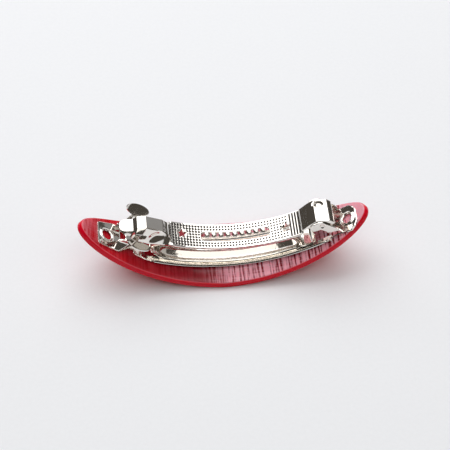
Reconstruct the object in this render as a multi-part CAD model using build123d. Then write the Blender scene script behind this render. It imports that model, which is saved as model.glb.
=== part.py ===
"""Hair clip lying on its bowed plate, with the spring clasp upwards.

The clip is a leaf-shaped acetate plate bent to an arc, with a stamped sheet-metal
clasp glued along its hollow side.  +X runs along the clip towards the hinge, -Y is
the long side nearer to the viewer, +Z is up.  The origin is the lowest point of the
plate, in the middle of its round outer face.

Nearly everything follows the plate's arc, so places are given in bow coordinates:
u is the distance along the plate's inner face from its middle, v is across (the same
as Y), and h is the height above the inner face, towards the centre of the arc.
Lengths are in millimetres.
"""
from build123d import *
import math
import os

# The plate
PLATE_RADIUS = 59.0          # of the inner face
PLATE_THICKNESS = 2.4
PLATE_HALF_ARC = 47.0        # middle to tip, along the inner face
PLATE_HALF_WIDTH = 11.9
PLATE_BEVEL = 0.45
TIP_POWER = 1.484            # the outline is |u/half arc|^TIP_POWER + |v/half width|^SIDE_POWER = 1
SIDE_POWER = 2.193
PLATE_STEPS = 12             # straight facets from the middle to where each tip rounds off
PLATE_TIP_STATIONS = (0.9, 0.95, 0.98, 0.996)

# Sheet metal and the gaps between pieces
SHEET = 0.5
SEAT_GAP = 0.07              # between the base and the plate
BAR_GAP = 0.07               # between the tension bar's foot and the base
HINGE_GAP = 0.1              # between an ear and the channel that turns in it
PIVOT_GAP = 0.07             # round each pivot dimple, radial

# The base strip and its tabs
STRIP_LEFT_U = -26.5
STRIP_HALF_WIDTH = 6.0
STRIP_TAPER = 4.5            # length over which its left end widens
LEFT_TAB_END_U = -41.3
TAB_END_HALF_WIDTH = 3.9
TAB_MARGIN = 0.3             # sheet left outside the foot of an ear
NECK_HALF_WIDTH = 2.8
LEFT_HOLE_U = -38.1
LEFT_HOLE_V = -0.5           # each tab sits a little to the near side
RIGHT_HOLE_V = -1.1
TAB_HOLE_RADIUS = 1.5
COLLAR_RADIUS = 2.5
COLLAR_LIP = 0.35
COLLAR_HEIGHT = 0.45
WINDOW_MARGIN = 1.3          # sheet left between a window and the strip's edge features
LATCH_WINDOW_LENGTH = 4.8

# The latch ears
EAR_U = -32.0                # middle of the stem
EAR_WALL_V = 4.3             # inner face of the stem
STEM_WIDTH = 4.4
STEM_TOP_H = 4.6
NECK_WIDTH = 2.2
PAD_U = -30.9
PAD_V = 7.5
PAD_H = 7.05
PAD_LEAN = 46.0              # degrees between the pad and the plate
PAD_LENGTH = 7.8
PAD_WIDTH = 3.4
PAD_DISH_RADIUS = 8.0

# The hinge
PIVOT_U = 34.7
PIVOT_H = 6.5
STRIP_SHORT = 0.4            # from the base strip's right end to the pivot
RIGHT_HOLE_REACH = 6.1       # from the pivot to the right tab's hole
RIGHT_TAB_REACH = 3.3        # from that hole to the tab's end
PIVOT_RADIUS = 0.55
HINGE_EAR_V = 4.4            # inner face of each ear
HINGE_EAR_REACH = 3.9        # from the pivot to the ear's left end
DIMPLE_RADIUS = 0.9
DIMPLE_DEPTH = 0.35

# The arm
ARM_HALF_WIDTH = 4.75
ARM_THICKNESS = 0.6
ARM_LEFT_U = -18.6
ARM_LEFT_H = 8.35            # height of its upper face there, in the middle and at the right
ARM_MIDDLE_U = 4.0
ARM_MIDDLE_H = 7.7
ARM_RIGHT_U = 27.3
ARM_RIGHT_H = 7.05
TONGUE_TIP_U = -36.7
TONGUE_HALF_WIDTH = 2.2
TONGUE_RISE = 3.0            # of its crest over the arm's left end
CREST_BACK = 2.1             # from the ridge of the hinge channel to the pivot
CREST_H = 9.25
CHANNEL_REACH = 2.6          # from the pivot to the channel's end
SCOOP_RADIUS = 3.4           # eye-shaped hollow on each upper corner of the channel
SCOOP_DEPTH = 0.65

# The slot, its teeth and the stars
SLOT_LEFT_U = -8.0
SLOT_RIGHT_U = 16.3
SLOT_NEAR_V = -1.9
SLOT_FAR_V = 1.75
TOOTH_COUNT = 9
TOOTH_PITCH = 2.42
TOOTH_WIDTH = 1.9
TOOTH_LENGTH = 2.0
TOOTH_DROP = 48.0            # degrees below the arm's face
TOOTH_THICKNESS = 0.4
STAR_RADIUS = 2.0
STAR_INNER_SHARE = 0.45
LEFT_STAR_U = -14.7
LEFT_STAR_V = 0.6
RIGHT_STAR_U = 22.0
RIGHT_STAR_V = -0.3

# The tension bar
BAR_HALF_WIDTH = 4.6
BAR_H = 1.7                  # its lower face over the strip
BAR_LEFT_U = -24.6
BAR_LEFT_H = 2.9
BAR_BEND_U = -15.0           # from there it lifts to the left
BAR_DIP_U = 23.0             # from there it slopes down to its foot
BAR_FOOT_U = 25.6
BAR_RIGHT_U = 27.4
BAR_LIP_H = 1.1               # lower rim of the lip along each side, between the two bends
CURL_RADIUS = 2.0
CURL_TURN = 95.0             # degrees

CENTRE_Z = PLATE_RADIUS + PLATE_THICKNESS
SHEET_TOP = SEAT_GAP + SHEET
STRIP_RIGHT_U = PIVOT_U - STRIP_SHORT
RIGHT_HOLE_U = PIVOT_U + RIGHT_HOLE_REACH
RIGHT_TAB_END_U = RIGHT_HOLE_U + RIGHT_TAB_REACH
CREST_U = PIVOT_U - CREST_BACK
CHANNEL_END_U = PIVOT_U + CHANNEL_REACH
LATCH_FOOT_V = EAR_WALL_V + SHEET + TAB_MARGIN
HINGE_FOOT_V = HINGE_EAR_V + SHEET + TAB_MARGIN / 2


def at(u, h):
    """Point (x, z) of the place u along the bow and h above the plate's inner face."""
    turn = u / PLATE_RADIUS
    reach = PLATE_RADIUS - h
    return reach * math.sin(turn), CENTRE_Z - reach * math.cos(turn)


def frame_at(u, v, h):
    """Location whose X runs along the bow, Y across it and Z away from the plate."""
    x, z = at(u, h)
    turn = math.degrees(u / PLATE_RADIUS)
    return Location((x, v, z)) * Rotation(0, -turn, 0)


def cross_plane(u):
    """Plane square to the bow: its X is v and its Y is h."""
    x, z = at(u, 0)
    turn = u / PLATE_RADIUS
    return Plane(origin=(x, 0, z), x_dir=(0, 1, 0), z_dir=(math.cos(turn), 0, math.sin(turn)))


def across(edges, near_v, far_v):
    """Solid with the closed XZ outline of edges, from near_v to far_v."""
    face = Plane.XZ * make_face(edges)
    return Pos(0, far_v, 0) * extrude(face, far_v - near_v)


def side_plate(corners, near_v, far_v):
    """Solid with a straight-sided outline of (u, h) corners, from near_v to far_v."""
    outline = Polyline(*[at(u, h) for u, h in corners], close=True)
    return across(outline.edges(), near_v, far_v)


def band(u0, u1, h0, h1, half_width):
    """Strip bent with the bow, between the heights h0 and h1."""
    middle = (u0 + u1) / 2
    edges = [
        ThreePointArc(at(u0, h0), at(middle, h0), at(u1, h0)),
        Line(at(u1, h0), at(u1, h1)),
        ThreePointArc(at(u1, h1), at(middle, h1), at(u0, h1)),
        Line(at(u0, h1), at(u0, h0)),
    ]
    return across(edges, -half_width, half_width)


def plan_prism(points, h):
    """Upright prism over a closed outline of (u, v) corners, for cutting a sheet at height h."""
    corners = [(at(u, h)[0], v) for u, v in points]
    return extrude(make_face(Polyline(*corners, close=True)), CENTRE_Z / 2)


def mirrored(points, end_v=0):
    """Closed outline of the far side's corners and their mirror images, in order round.

    Corners beyond the ears move by end_v, where a tab sits to one side.
    """
    beyond = [end_v if u < EAR_U - STEM_WIDTH or u > CHANNEL_END_U else 0 for u, _ in points]
    far = [(u, v + shift) for (u, v), shift in zip(points, beyond)]
    near = [(u, -v + shift) for (u, v), shift in zip(points, beyond)]
    return far + near[::-1]


def plate():
    """Leaf outline with radial edges: short straight facets between bevelled cross-sections."""
    tips = list(PLATE_TIP_STATIONS)
    even = [tips[0] * step / PLATE_STEPS for step in range(-PLATE_STEPS, PLATE_STEPS + 1)]
    sections = []
    for share in [-s for s in reversed(tips[1:])] + even + tips[1:]:
        half = PLATE_HALF_WIDTH * (1 - abs(share) ** TIP_POWER) ** (1 / SIDE_POWER)
        bevel = min(PLATE_BEVEL, 0.35 * half)
        low = -PLATE_THICKNESS
        corners = [
            (-half, low + bevel),
            (-half + bevel, low),
            (half - bevel, low),
            (half, low + bevel),
            (half, -bevel),
            (half - bevel, 0),
            (-half + bevel, 0),
            (-half, -bevel),
        ]
        sections.append(cross_plane(share * PLATE_HALF_ARC) * make_face(Polyline(*corners, close=True)))
    return loft(sections, ruled=True)


def collar(u, v):
    """Raised ring round a tab's hole."""
    height = SHEET / 2 + COLLAR_HEIGHT
    top_radius = TAB_HOLE_RADIUS + COLLAR_LIP
    ring = Cone(COLLAR_RADIUS, top_radius, height, align=(Align.CENTER, Align.CENTER, Align.MIN))
    return frame_at(u, v, SEAT_GAP + SHEET / 2) * ring


def tab_hole(u, v):
    """Cutter for the hole through a tab and its collar."""
    return frame_at(u, v, SHEET_TOP) * Cylinder(TAB_HOLE_RADIUS, 4 * (SHEET + COLLAR_HEIGHT))


def base_sheet():
    """The stamped strip with its tabs, windows and collared holes."""
    stem_left = EAR_U - STEM_WIDTH / 2
    stem_right = EAR_U + STEM_WIDTH / 2
    left_tab = mirrored([
        (LEFT_TAB_END_U - SHEET, TAB_END_HALF_WIDTH),
        (LEFT_TAB_END_U + 1, TAB_END_HALF_WIDTH + 0.4),
        (stem_left - 1.3, LATCH_FOOT_V),
        (stem_right, LATCH_FOOT_V),
        (stem_right + 1.1, NECK_HALF_WIDTH),
        (STRIP_LEFT_U, NECK_HALF_WIDTH),
    ], LEFT_HOLE_V)
    strip = mirrored([
        (STRIP_LEFT_U, STRIP_HALF_WIDTH - 0.8),
        (STRIP_LEFT_U + STRIP_TAPER, STRIP_HALF_WIDTH),
        (STRIP_RIGHT_U, STRIP_HALF_WIDTH),
    ])
    right_tab = mirrored([
        (STRIP_RIGHT_U - 1, HINGE_FOOT_V),
        (PIVOT_U + 0.8 * HINGE_EAR_REACH, HINGE_FOOT_V),
        (RIGHT_HOLE_U - 1.6, HINGE_FOOT_V),
        (RIGHT_HOLE_U + 0.8, HINGE_FOOT_V - 0.2),
        (RIGHT_TAB_END_U - 1.0, TAB_END_HALF_WIDTH - 0.3),
        (RIGHT_TAB_END_U + SHEET, TAB_END_HALF_WIDTH / 2),
    ], RIGHT_HOLE_V)
    outline = Part() + [plan_prism(points, SHEET_TOP) for points in (left_tab, strip, right_tab)]
    sheet = band(LEFT_TAB_END_U, RIGHT_TAB_END_U, SEAT_GAP, SHEET_TOP, STRIP_HALF_WIDTH) & outline
    latch_window_u = STRIP_LEFT_U + WINDOW_MARGIN
    windows = [
        # from u, to u, half width
        (EAR_U - STEM_WIDTH * 0.27, EAR_U + STEM_WIDTH * 0.34, EAR_WALL_V - WINDOW_MARGIN),
        (latch_window_u, latch_window_u + LATCH_WINDOW_LENGTH, NECK_HALF_WIDTH + 0.5),
        (BAR_RIGHT_U + WINDOW_MARGIN, STRIP_RIGHT_U - SHEET / 2, HINGE_EAR_V - SHEET),
    ]
    sheet -= [band(u0, u1, -1, SHEET_TOP + 1, half) for u0, u1, half in windows]
    holes = [(LEFT_HOLE_U, LEFT_HOLE_V), (RIGHT_HOLE_U, RIGHT_HOLE_V)]
    sheet += [collar(u, v) for u, v in holes]
    return sheet - [tab_hole(u, v) for u, v in holes]


def latch_ear():
    """Far latch ear: an upright stem, a neck that leans outwards and a dished finger pad."""
    wall_v = EAR_WALL_V + SHEET / 2
    root_h = SEAT_GAP + SHEET / 2
    stem = Pos(0, wall_v, root_h) * Box(
        STEM_WIDTH, SHEET, STEM_TOP_H - root_h, align=(Align.CENTER, Align.CENTER, Align.MIN)
    )
    lean = math.radians(PAD_LEAN)
    overlap = 0.3 * PAD_WIDTH
    top_v = PAD_V - overlap * math.cos(lean)
    top_h = PAD_H - overlap * math.sin(lean)
    foot = Pos(0, wall_v, STEM_TOP_H) * Rectangle(STEM_WIDTH, SHEET)
    head = Pos(PAD_U - EAR_U, top_v, top_h) * Rectangle(NECK_WIDTH, 1.2 * SHEET)
    upright = frame_at(EAR_U, 0, 0) * (stem + loft([foot, head], ruled=True))
    shell = Sphere(PAD_DISH_RADIUS + SHEET) - Sphere(PAD_DISH_RADIUS)
    blank = extrude(Ellipse(PAD_LENGTH / 2, PAD_WIDTH / 2), PAD_WIDTH, both=True)
    pad = Rotation(PAD_LEAN, 0, 0) * (Pos(0, 0, PAD_DISH_RADIUS) * shell & blank)
    return upright + frame_at(PAD_U, PAD_V, PAD_H) * pad


def hinge_ear():
    """Far hinge ear: a bent plate that rises from the right tab and turns over the channel."""
    table = [
        # share of the reach from the pivot, share of the pivot's height
        (0.77, 0.05),
        (0.59, 0.46),
        (0.49, 0.92),
        (0.26, 1.23),
        (-0.08, 1.33),
        (-0.59, 1.33),
        (-1.0, 1.2),
        (-1.0, 0.91),
        (-0.33, 0.83),
        (-0.08, 0.55),
        (0.05, 0.05),
    ]
    corners = [(PIVOT_U + reach * HINGE_EAR_REACH, PIVOT_H * rise) for reach, rise in table]
    ear = side_plate(corners, HINGE_EAR_V, HINGE_EAR_V + SHEET)
    x, z = at(PIVOT_U, PIVOT_H)
    boss = Pos(x, HINGE_EAR_V - SHEET / 2, z) * Rotation(90, 0, 0) * Cylinder(PIVOT_RADIUS, SHEET)
    dimple_v = HINGE_EAR_V + SHEET + DIMPLE_RADIUS - DIMPLE_DEPTH
    return ear + boss - Pos(x, dimple_v, z) * Sphere(DIMPLE_RADIUS)


def base():
    """Strip, latch ears and hinge ears are one stamping."""
    far_side = [latch_ear(), hinge_ear()]
    near_side = [mirror(piece, Plane.XZ) for piece in far_side]
    return base_sheet() + far_side + near_side


def bar_slope(u0, h0, u1, h1):
    """Straight stretch of the tension bar between two heights of its lower face."""
    corners = [(u0, h0), (u1, h1), (u1, h1 + SHEET), (u0, h0 + SHEET)]
    return side_plate(corners, -BAR_HALF_WIDTH, BAR_HALF_WIDTH)


def tension_bar():
    """Spring strip with a lip turned down along each side.

    It lifts at the left, and seats on the base and curls up at the right.
    """
    foot_h = SHEET_TOP + BAR_GAP
    run = band(BAR_BEND_U, BAR_DIP_U, BAR_H, BAR_H + SHEET, BAR_HALF_WIDTH)
    lips = band(BAR_BEND_U, BAR_DIP_U, BAR_LIP_H, BAR_H, BAR_HALF_WIDTH)
    lips -= band(BAR_BEND_U - 1, BAR_DIP_U + 1, 0, BAR_H, BAR_HALF_WIDTH - SHEET)
    lift = bar_slope(BAR_LEFT_U, BAR_LEFT_H, BAR_BEND_U, BAR_H)
    dip = bar_slope(BAR_DIP_U, BAR_H, BAR_FOOT_U, foot_h)
    foot = band(BAR_FOOT_U, BAR_RIGHT_U, foot_h, foot_h + SHEET, BAR_HALF_WIDTH)
    axis = at(BAR_RIGHT_U, foot_h + SHEET + CURL_RADIUS)
    start = math.degrees(BAR_RIGHT_U / PLATE_RADIUS) - 90
    outer = CenterArc(axis, CURL_RADIUS + SHEET, start, CURL_TURN)
    inner = CenterArc(axis, CURL_RADIUS, start, CURL_TURN)
    edges = [outer, Line(outer @ 1, inner @ 1), inner, Line(inner @ 0, outer @ 0)]
    curl = across(edges, -BAR_HALF_WIDTH, BAR_HALF_WIDTH)
    return run + [lips, lift, dip, foot, curl]


def arm_height(u):
    """Height of the arm's upper face, which sinks evenly towards the hinge."""
    share = (u - ARM_LEFT_U) / (ARM_RIGHT_U - ARM_LEFT_U)
    return ARM_LEFT_H + (ARM_RIGHT_H - ARM_LEFT_H) * share


def arm_strip():
    """The flat stretch of the arm, bent to an arc of its own."""
    places = [(ARM_LEFT_U, ARM_LEFT_H), (ARM_MIDDLE_U, ARM_MIDDLE_H), (ARM_RIGHT_U, ARM_RIGHT_H)]
    upper = ThreePointArc(*[at(u, h) for u, h in places])
    lower = ThreePointArc(*[at(u, h - ARM_THICKNESS) for u, h in reversed(places)])
    edges = [upper, Line(upper @ 1, lower @ 0), lower, Line(lower @ 1, upper @ 0)]
    return across(edges, -ARM_HALF_WIDTH, ARM_HALF_WIDTH)


def slot():
    """Cutter for the long round-ended slot."""
    left_x = at(SLOT_LEFT_U, ARM_MIDDLE_H)[0]
    right_x = at(SLOT_RIGHT_U, ARM_MIDDLE_H)[0]
    face = SlotOverall(right_x - left_x, SLOT_FAR_V - SLOT_NEAR_V)
    middle = Pos((left_x + right_x) / 2, (SLOT_NEAR_V + SLOT_FAR_V) / 2, 0)
    return middle * extrude(face, CENTRE_Z / 2)


def tooth(u):
    """Round-ended tooth, bent down into the slot from its far edge."""
    straight = TOOTH_LENGTH - TOOTH_WIDTH / 2
    root = TOOTH_THICKNESS
    blank = Pos(0, (root - straight) / 2, 0) * Rectangle(TOOTH_WIDTH, straight + root)
    blank += Pos(0, -straight, 0) * Circle(TOOTH_WIDTH / 2)
    leaf = extrude(blank, -TOOTH_THICKNESS)
    return frame_at(u, SLOT_FAR_V, arm_height(u)) * Rotation(TOOTH_DROP, 0, 0) * leaf


def star_hole(u, v):
    """Cutter for a five-pointed star."""
    points = []
    for step in range(10):
        reach = STAR_RADIUS * (1 if step % 2 == 0 else STAR_INNER_SHARE)
        turn = math.radians(90 + 36 * step)
        points.append((u + reach * math.cos(turn), v + reach * math.sin(turn)))
    return plan_prism(points, arm_height(u))


def hat(u, top_half, top_h, foot_v, foot_h):
    """Cross-section of folded sheet: a flat top with a flange sloping down on each side."""
    thick = ARM_THICKNESS
    corners = [
        (-foot_v, foot_h),
        (-top_half, top_h),
        (top_half, top_h),
        (foot_v, foot_h),
        (foot_v, foot_h - thick),
        (top_half - 0.2 * thick, top_h - thick),
        (-top_half + 0.2 * thick, top_h - thick),
        (-foot_v, foot_h - thick),
    ]
    return cross_plane(u) * make_face(Polyline(*corners, close=True))


def tongue():
    """Raised end of the arm: it rises, narrows, steps down and ends in a drooping nose."""
    table = [
        # share of the length, half width over the tongue's own, rise of the top over the crest's,
        # side of the flange's foot over the arm's half width, rise of the foot over the crest's
        (0.0, 1.5, 0.0, 1.0, 0.0),
        (0.1, 1.0, 0.78, 0.99, 0.02),
        (0.275, 1.0, 1.0, 0.97, -0.15),
        (0.51, 1.0, 0.82, 0.86, -0.32),
        (0.63, 1.0, 0.62, 0.74, -0.58),
        (0.74, 1.0, 0.18, 0.53, 0.05),
        (0.785, 1.0, -0.15, 0.5, -0.18),
        (0.93, 1.0, -0.82, 0.5, -0.85),
        (1.0, 1.0, -1.15, 0.48, -1.15),
    ]
    length = TONGUE_TIP_U - ARM_LEFT_U
    sections = []
    for along, top, rise, foot, foot_rise in table:
        top_h = ARM_LEFT_H + TONGUE_RISE * rise
        foot_h = ARM_LEFT_H + TONGUE_RISE * foot_rise
        u = ARM_LEFT_U + length * along
        sections.append(hat(u, TONGUE_HALF_WIDTH * top, top_h, ARM_HALF_WIDTH * foot, foot_h))
    return loft(sections, ruled=True)


def corner_scoop(half):
    """Round cutter that leaves an eye-shaped hollow on the channel's far upper corner."""
    offset = (SCOOP_RADIUS - SCOOP_DEPTH) / math.sqrt(2)
    middle_u = CREST_U + 0.4 * (CHANNEL_END_U - CREST_U)
    cutter = Rotation(45, 0, 0) * Cylinder(SCOOP_RADIUS, 4 * ARM_HALF_WIDTH)
    return frame_at(middle_u, half + offset, CREST_H - ARM_THICKNESS / 2 + offset) * cutter


def hinge_channel():
    """Right end of the arm: a ridge with folded sides that turns between the hinge ears."""
    half = HINGE_EAR_V - HINGE_GAP
    start_u = ARM_RIGHT_U - ARM_THICKNESS
    bend_u = ARM_RIGHT_U + ARM_THICKNESS
    tail = CHANNEL_END_U - CREST_U
    drop = CREST_H - PIVOT_H
    table = [
        # u, h, share of the thickness that the lower face lies to the left
        (start_u, arm_height(start_u), 0.0),
        (bend_u, arm_height(bend_u) + 0.4, 0.0),
        (CREST_U, CREST_H, 0.0),
        (CREST_U + 0.4 * tail, CREST_H - 0.05 * drop, 0.2),
        (CREST_U + 0.92 * tail, CREST_H - 0.55 * drop, 0.6),
        (CHANNEL_END_U, CREST_H - 1.6 * drop, 0.9),
    ]
    top = [(u, h) for u, h, _ in table]
    under = [(u - ARM_THICKNESS * left, h - ARM_THICKNESS * (1 - left / 2)) for u, h, left in table]
    ridge = side_plate(top + under[::-1], -half, half)
    seam = [(u, h + SHEET / 2) for u, h in under[2:5]]
    cheek = [
        under[5],
        (PIVOT_U + 0.6 * drop, PIVOT_H - 0.65 * drop),
        (PIVOT_U - 0.4 * drop, PIVOT_H - 0.58 * drop),
        (PIVOT_U - 1.1 * drop, PIVOT_H - 0.1 * drop),
        (bend_u + 0.5 * (CREST_U - bend_u), arm_height(bend_u) + 0.3),
    ]
    web = [(PIVOT_U - 0.4 * drop, PIVOT_H + 0.35 * drop)]
    sides = side_plate(seam + cheek, -half, half)
    sides -= Box(4 * CENTRE_Z, 2 * (half - SHEET), 4 * CENTRE_Z)
    gusset = side_plate(seam + web, -half, half)
    gusset -= Box(4 * CENTRE_Z, 2 * (half - 2 * SCOOP_DEPTH), 4 * CENTRE_Z)
    x, z = at(PIVOT_U, PIVOT_H)
    bore = Pos(x, 0, z) * Rotation(90, 0, 0) * Cylinder(PIVOT_RADIUS + PIVOT_GAP, 4 * half)
    scoop = corner_scoop(half)
    return ridge + sides + gusset - [bore, scoop, mirror(scoop, Plane.XZ)]


def arm():
    """The opening bar: slotted strip, teeth, tongue and hinge channel in one stamping."""
    strip = arm_strip() - [
        slot(),
        star_hole(LEFT_STAR_U, LEFT_STAR_V),
        star_hole(RIGHT_STAR_U, RIGHT_STAR_V),
    ]
    middle_u = (SLOT_LEFT_U + SLOT_RIGHT_U) / 2
    first_u = middle_u - TOOTH_PITCH * (TOOTH_COUNT - 1) / 2
    teeth = [tooth(first_u + TOOTH_PITCH * index) for index in range(TOOTH_COUNT)]
    return strip + teeth + tongue() + hinge_channel()


os.makedirs("parts", exist_ok=True)
pieces = {"plate": plate(), "base": base(), "tension_bar": tension_bar(), "arm": arm()}
for name, piece in pieces.items():
    export_step(piece, f"parts/{name}.step")
    print(name, len(piece.solids()), "solid,", round(piece.volume, 1), "cubic mm")
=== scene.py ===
# %% [markdown]
# # A spring-clasp hair clip
# The clip is a leaf-shaped plate of red acetate, bent to an arc, with a stamped and
# plated steel clasp along its hollow side.  The CAD model gives the sizes and the places.
# This lesson shapes the smooth skin of each piece, gives it its finish, and sets up
# the light and the view of the photograph.

import math

import bpy
import numpy as np
from mathutils import Matrix


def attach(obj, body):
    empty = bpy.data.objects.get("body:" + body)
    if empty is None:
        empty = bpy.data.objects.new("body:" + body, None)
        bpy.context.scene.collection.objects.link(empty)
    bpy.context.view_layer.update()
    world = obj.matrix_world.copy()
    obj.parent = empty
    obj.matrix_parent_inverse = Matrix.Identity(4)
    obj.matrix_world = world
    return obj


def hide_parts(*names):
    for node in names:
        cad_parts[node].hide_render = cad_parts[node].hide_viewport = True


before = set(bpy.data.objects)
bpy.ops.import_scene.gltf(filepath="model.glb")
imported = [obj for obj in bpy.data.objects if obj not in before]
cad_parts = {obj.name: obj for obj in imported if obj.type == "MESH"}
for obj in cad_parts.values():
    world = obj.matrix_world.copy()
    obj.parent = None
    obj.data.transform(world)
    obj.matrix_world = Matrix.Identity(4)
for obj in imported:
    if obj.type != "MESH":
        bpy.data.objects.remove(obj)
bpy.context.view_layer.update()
print("nodes:", ", ".join(sorted(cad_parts)))

# %% [markdown]
# ## Bow coordinates
# Everything on the clip follows the plate's arc.  Points could be typed as X, Y, Z,
# but then no number would mean anything on the clip.  So a place is (u, v, h): u along
# the plate's inner face from its middle, v across, h above that face.  Lengths are
# millimetres here, and they turn into metres in one place only.

# %% From the bow to the frame
MM = 0.001
PLATE_RADIUS = 59.0
PLATE_THICKNESS = 2.4


def bow(u, v, h):
    """Point in metres.  The angle is u over the radius: x = (radius - h) sin(angle),
    y = v, and z = radius + thickness - (radius - h) cos(angle)."""
    angle, reach = u / PLATE_RADIUS, PLATE_RADIUS - h
    x, z = reach * np.sin(angle), PLATE_RADIUS + PLATE_THICKNESS - reach * np.cos(angle)
    return np.stack(np.broadcast_arrays(x, v, z), axis=-1) * MM


def unbow(points):
    """The (u, v, h) of points in metres: u from the angle, h from the reach left over."""
    x, v, z = (points / MM).T
    up = PLATE_RADIUS + PLATE_THICKNESS - z
    return np.stack([PLATE_RADIUS * np.arctan2(x, up), v, PLATE_RADIUS - np.hypot(x, up)], -1)


print("tip of the plate in mm:", (bow(47.0, 0.0, 0.0) / MM).round(2))

# %% [markdown]
# ## Meshes
# A surface is a list of points and a list of four-cornered faces.  Points that fall
# on each other, at a seam or a pole, are welded, so that the surface is closed there.
# Faces shade smoothly except across edges sharper than 35 degrees.  Every point keeps
# its (u, v, h) as an attribute, so that a finish can follow the bow too.

# %% Points and faces into an object
SHARP = math.radians(35)
WELD_REACH = 1e-7        # metres


def weld(points, faces):
    """Merges points closer than a tenth of a micron and drops the faces that vanish."""
    keys = np.round(points / WELD_REACH).astype(np.int64)
    _, first, index = np.unique(keys, axis=0, return_index=True, return_inverse=True)
    faces = index.reshape(-1)[faces]
    drawn = (faces[:, 0] != faces[:, 2]) & (faces[:, 1] != faces[:, 3])
    return points[first], faces[drawn]


def three_or_four(faces):
    """Lists of corners.  A face with two neighbouring corners welded becomes a triangle."""
    narrow = faces == np.roll(faces, -1, axis=1)
    triangles = [np.roll(faces, -i, axis=1)[narrow[:, i]][:, 1:] for i in range(4)]
    return faces[~narrow.any(axis=1)].tolist() + np.concatenate(triangles).tolist()


def piece(name, material, *surfaces):
    """One object out of several (points, faces) surfaces."""
    starts = np.cumsum([0] + [len(points) for points, _ in surfaces])
    points = np.concatenate([points for points, _ in surfaces])
    faces = np.concatenate([faces + start for (_, faces), start in zip(surfaces, starts)])
    mesh = bpy.data.meshes.new(name)
    mesh.from_pydata(points.tolist(), [], three_or_four(faces))
    mesh.shade_smooth()
    mesh.set_sharp_from_angle(angle=SHARP)
    places = mesh.attributes.new("bow", "FLOAT_VECTOR", "POINT")
    places.data.foreach_set("vector", unbow(points).ravel())
    mesh.materials.append(material)
    item = bpy.data.objects.new(name, mesh)
    bpy.context.scene.collection.objects.link(item)
    print(name, len(mesh.vertices), "points,", len(mesh.polygons), "faces")
    return item


def mirrored(surface):
    """The surface and its mirror image on the other side of the middle plane."""
    points, faces = surface
    image = points * np.array([1.0, -1.0, 1.0])
    return (points, faces), (image, faces[:, ::-1])


# %% [markdown]
# ## Cut outlines
# A stamped blank has an outline and holes.  They could be cut with booleans, but a
# distance does it more gently: each outline is a function that says how far inside a
# point is.

# %% Distances
def polygon(corners):
    """How far a point lies inside a closed outline: the distance to its nearest side,
    positive where a line to the left crosses the outline an odd number of times."""
    corners = np.array(corners, float)

    def inside(a, b):
        nearest = np.full(np.shape(a), 1e9)
        odd = np.zeros(np.shape(a), bool)
        for (a0, b0), (a1, b1) in zip(corners, np.roll(corners, -1, 0)):
            da, db = a1 - a0, b1 - b0
            share = np.clip(((a - a0) * da + (b - b0) * db) / (da * da + db * db), 0, 1)
            nearest = np.minimum(nearest, np.hypot(a - a0 - share * da, b - b0 - share * db))
            spans = (b0 > b) != (b1 > b)
            odd ^= spans & (a < a0 + da * (b - b0) / np.where(db == 0, 1e-9, db))
        return np.where(odd, nearest, -nearest)

    return inside


def window(a0, a1, b0, b1):
    """Rectangle from a0 to a1 and from b0 to b1."""
    return polygon([(a0, b0), (a1, b0), (a1, b1), (a0, b1)])


def disc(a0, b0, radius):
    """The radius minus the distance from the middle."""
    return lambda a, b: radius - np.hypot(a - a0, b - b0)


def oval(a0, b0, half_a, half_b):
    """Close to a distance near the rim: one minus the scaled radius, times the small half."""
    small = min(half_a, half_b)
    return lambda a, b: (1 - np.hypot((a - a0) / half_a, (b - b0) / half_b)) * small


def pill(a0, a1, b0, b1):
    """Slot with round ends: the radius minus the distance from its middle line."""
    radius = (b1 - b0) / 2
    left, right, middle = a0 + radius, a1 - radius, b0 + radius
    return lambda a, b: radius - np.hypot(a - np.clip(a, left, right), b - middle)


def star(a0, b0, radius, inner_share):
    """Ten corners, 36 degrees apart, in turn at the radius and at inner_share of it."""
    turns = np.radians(90 + 36 * np.arange(10))
    reach = radius * np.where(np.arange(10) % 2 == 0, 1.0, inner_share)
    return polygon(np.stack([a0 + reach * np.cos(turns), b0 + reach * np.sin(turns)], -1))


print("a disc of radius 2 is", disc(0, 0, 2)(0.5, 0), "deep at 0.5 from its middle")

# %% [markdown]
# ## Outlines joined and cut
# The greatest of two distances joins their outlines.  A hole is a distance with its sign
# turned, and the least of several distances cuts one outline by another.

# %% Joining and cutting
def blank(solid, *holes):
    """Inside the solid outline and outside every hole: the least of the distances."""

    def inside(a, b):
        return np.minimum.reduce([solid(a, b)] + [-hole(a, b) for hole in holes])

    return inside


def either(*outlines):
    """Inside one outline or another: the greatest of the distances."""
    return lambda a, b: np.maximum.reduce([outline(a, b) for outline in outlines])


print("a hole of radius 1 leaves", blank(disc(0, 0, 2), disc(0, 0, 1))(1.4, 0), "at 1.4")

# %% [markdown]
# ## Sheet metal
# The clasp is stamped from sheet.  Its pieces could be solids with booleans, but a fine
# grid is closer to the press: cells outside the outline are left out, the rim is pulled
# onto the outline, a formula bends the blank, and a second skin gives the thickness.

# %% Grid, rim, bend and second skin
RIM_ROUNDS = 4           # moves of the rim down the slope of its distance
RIM_PROBE = 1e-4         # length over which that slope is measured
LEAST_STEEP = 0.3        # least squared slope, so that no move is wild at a corner


def unit(vectors):
    """Each vector over its own length."""
    return vectors / np.maximum(np.linalg.norm(vectors, axis=-1, keepdims=True), 1e-12)


def corner_normals(points, faces):
    """Mean of the face normals round each point, each weighted by its area."""
    a, b, c, d = (points[faces[:, i]] for i in range(4))
    facing = np.cross(c - a, d - b)
    total = np.zeros_like(points)
    for i in range(4):
        np.add.at(total, faces[:, i], facing)
    return unit(total)


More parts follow.
